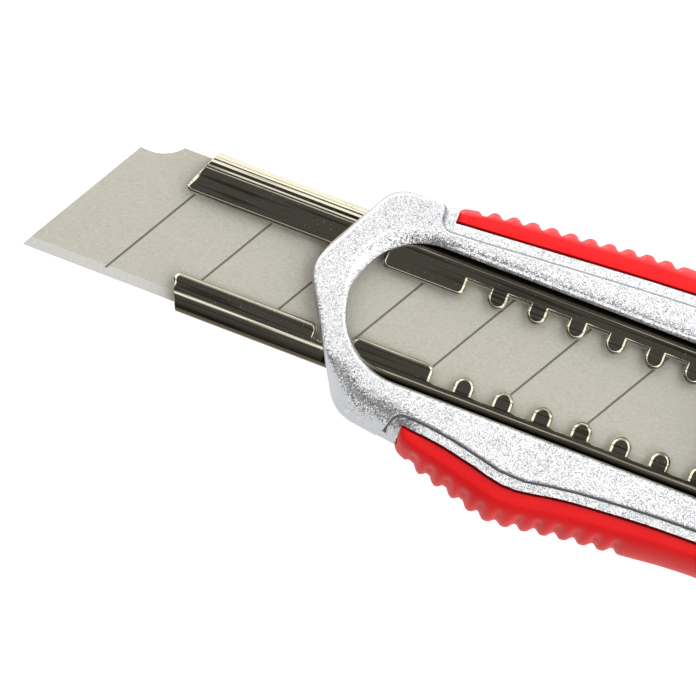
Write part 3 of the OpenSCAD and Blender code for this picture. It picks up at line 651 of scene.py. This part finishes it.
face_casting()
seam(1, 0.14, SPINE_SEAM_SHADE, "spine_seam")
seam(-1, 0.22, EDGE_SEAM_SHADE, "edge_seam")
grip("spine_grip", spine_in, spine_out, 1, "spine_rubber")
grip("edge_grip", edge_in, edge_out, -1, "edge_rubber")
finished_copy("back_casting", "rear_shell", SILVER, "handle", 0.5, 3)
screws = cad_copy("case_screws")
cut_away(screws, at(0, 0, 8.6), (0, 0, 1))   # their tips end inside the sloped nose
finished_copy("case_screws", "shell_screws", ZINC, "handle", 0.12, bm=screws)
finished_copy("lanyard_eyelet", "eyelet", ZINC, "handle", 0.25, 3)
lips = cad_copy("blade_channel")


def on_top(edge):
    """Whether an edge bounds the flat top of the channel's lips and lock tabs."""
    high = min(v.co.z for v in edge.verts) > (CHANNEL_TOP - 0.02) * MM
    return high and max(f.normal.z for f in edge.link_faces) > 0.9999


soften(lips, 0.5, on_top, segments=6, angle=60, clamp=False)
finished_copy("blade_channel", "channel", NICKEL, "handle", 0.1, 2, 40, lips, clamp=False)
finished_copy("channel_rivets", "rivets", ZINC, "handle", 0.1)


BEVEL_W = 1.8   # width of the ground bevel, in mm
TILTED, NOT_FLAT = 0.05, 0.995   # a sloping face's normal has its z between these


def blade():
    """The blade: ground bevel along its edge, and pressed score lines."""
    piece = finished_copy("blade", "snap_blade", BLADE, "slider", 0.015, 1, 50, sharp_deg=6)
    piece.data.materials.append(BEVEL)
    piece.data.materials.append(SCORE_SHADE)
    low, high = span("blade")
    # Tilted faces near the edge take the ground bevel; faces sunk in the score lines take the
    # painted shade.
    for face in piece.data.polygons:
        y, z = (face.center.y - CENTRE_Y) / MM, face.center.z / MM
        sunk = low[2] + 0.1 < z < high[2] - 0.02
        if TILTED < abs(face.normal.z) < NOT_FLAT and y < low[1] + BEVEL_W:
            face.material_index = 1
        elif sunk and low[1] + 1.0 < y < high[1] - 0.3:
            face.material_index = 2


blade()
finished_copy("blade_carrier", "carrier", SPRING, "slider", 0.08)
finished_copy("blade_stud", "stud", ZINC, "slider", 0.08)
finished_copy("carrier_screws", "carrier_fixings", ZINC, "slider", 0.05)
finished_copy("slider_base", "slide_block", BLACK, "slider", 0.2)
finished_copy("lock_spring", "lug_spring", SPRING, "slider", 0.06)
coil = finished_copy("button_spring", "coil_spring", SPRING, "slider", 0.01, 1, 80)
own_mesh(coil)
finished_copy("thumb_button", "press_button", BLACK, "button", 0.35, 3)
finished_copy("button_pad", "soft_pad", PAD_RED, "button", 0.18, 2)
finished_copy("tail_cap", "end_cap", BLACK, "cap", 0.6, 3)
finished_copy("snapper_plate", "snapper", SPRING, "cap", 0.08)
finished_copy("cap_rivets", "end_cap_rivets", ZINC, "cap", 0.1)

# ---- Studio ----


def product(tree, *sources):
    """All the sources multiplied together."""
    total = sources[0]
    for source in sources[1:]:
        total = add(tree, "ShaderNodeMath", operation="MULTIPLY",
                    links={0: total, 1: source}).outputs[0]
    return total


def light_tent(sky):
    """Bright from the spine's side and both ends, dark right overhead and behind the edge. Straight
    across the knife the tent is in strips, which the rolled bends of the channel mirror as lines."""
    way = add(sky, "ShaderNodeSeparateXYZ",
              links={"Vector": add(sky, "ShaderNodeTexCoord").outputs["Generated"]})
    port = ramp(sky, way.outputs["Z"], [(0.955, 1.0), (0.975, 0.05)])
    facing = add(sky, "ShaderNodeVectorMath", {1: (0.38, 0.92, 0)}, operation="DOT_PRODUCT",
                 links={0: way.inputs["Vector"].links[0].from_socket})
    shade = add(sky, "ShaderNodeMapRange", {"From Min": -0.38, "From Max": -0.31,
                                            "To Min": 0.05, "To Max": 1.0},
                {"Value": facing.outputs["Value"]})
    strips = ramp(sky, way.outputs["Z"], [(0.0, 0.85), (0.16, 1.0), (0.18, 0.04), (0.22, 0.04),
                                          (0.24, 1.0), (0.46, 1.0), (0.48, 0.04), (0.56, 0.06),
                                          (0.6, 0.9), (0.72, 0.9), (0.75, 0.03), (0.87, 0.03),
                                          (0.885, 0.8), (0.91, 0.8), (0.925, 0.04), (0.955, 0.04),
                                          (0.96, 1.0)])
    width = add(sky, "ShaderNodeMath", operation="ABSOLUTE", links={0: way.outputs["X"]})
    sector = product(sky, ramp(sky, width.outputs[0], [(0.2, 1.0), (0.3, 0.0)]),
                     ramp(sky, way.outputs["Y"], [(0.08, 0.0), (0.14, 1.0)]))
    across = add(sky, "ShaderNodeMix", {2: 1.0}, {"Factor": sector, 3: strips})
    power = add(sky, "ShaderNodeMath", {1: SKY}, operation="MULTIPLY",
                links={0: product(sky, port, shade.outputs["Result"], across.outputs[0])})
    return power.outputs[0]


def studio():
    """A pale floor lit from beneath, the tent for a sky, and one softbox on the spine's side."""
    floor_material, tree, shader, where = new_material("white_card_sweep", roughness=0.9)
    cloud = add(tree, "ShaderNodeTexNoise", {"Scale": 8}, {"Vector": where})
    tree.links.new(ramp(tree, cloud.outputs["Fac"], [(0.3, "A6A6A6"), (0.7, "ACACAC")]),
                   shader.inputs["Base Color"])
    shader.inputs["Emission Color"].default_value = (1, 1, 1, 1)
    shader.inputs["Emission Strength"].default_value = 0.88   # a table lit from beneath
    bm = bmesh.new()
    bmesh.ops.create_grid(bm, x_segments=2, y_segments=2, size=3)
    mesh = bpy.data.meshes.new("floor")
    bm.to_mesh(mesh)
    bm.free()
    floor = bpy.data.objects.new("floor", mesh)
    mesh.materials.append(floor_material)
    bpy.context.scene.collection.objects.link(floor)

    world = bpy.data.worlds.new("studio")
    bpy.context.scene.world = world
    world.use_nodes = True
    sky = world.node_tree
    sky.nodes["Background"].inputs["Color"].default_value = (1, 1, 1, 1)
    sky.links.new(light_tent(sky), sky.nodes["Background"].inputs["Strength"])

    lamp = bpy.data.lights.new("spine_softbox", "AREA")
    lamp.shape = "SQUARE"
    lamp.size = 0.6
    lamp.energy = 3.4
    holder = bpy.data.objects.new("spine_softbox", lamp)
    turn, height = math.radians(68), math.radians(48)
    way = Vector((math.cos(turn) * math.cos(height), math.sin(turn) * math.cos(height),
                  math.sin(height)))
    holder.location = at(20, 0, 8) + way * 0.8
    holder.rotation_euler = way.to_track_quat("Z", "Y").to_euler()
    holder.visible_glossy = False
    bpy.context.scene.collection.objects.link(holder)


SKY = 1.6   # brightness of the light tent

TURN = 20.8   # degrees
FRAME_W = 84.9   # width of the view at the knife, in mm
CAMERA_L = 450   # from the camera to the knife, in mm


def camera():
    """Straight down on the blade, turned so that the knife runs down to the right."""
    eye = bpy.data.cameras.new("camera")
    eye.sensor_width = 36
    eye.lens = 36 * CAMERA_L / FRAME_W
    eye.clip_end = 20
    holder = bpy.data.objects.new("camera", eye)
    holder.location = at(7.5, -6.75, 7.95 + CAMERA_L)
    holder.rotation_euler = (0, 0, math.radians(TURN))
    bpy.context.scene.collection.objects.link(holder)
    bpy.context.scene.camera = holder


studio()
camera()
bpy.context.scene.view_settings.view_transform = "Standard"
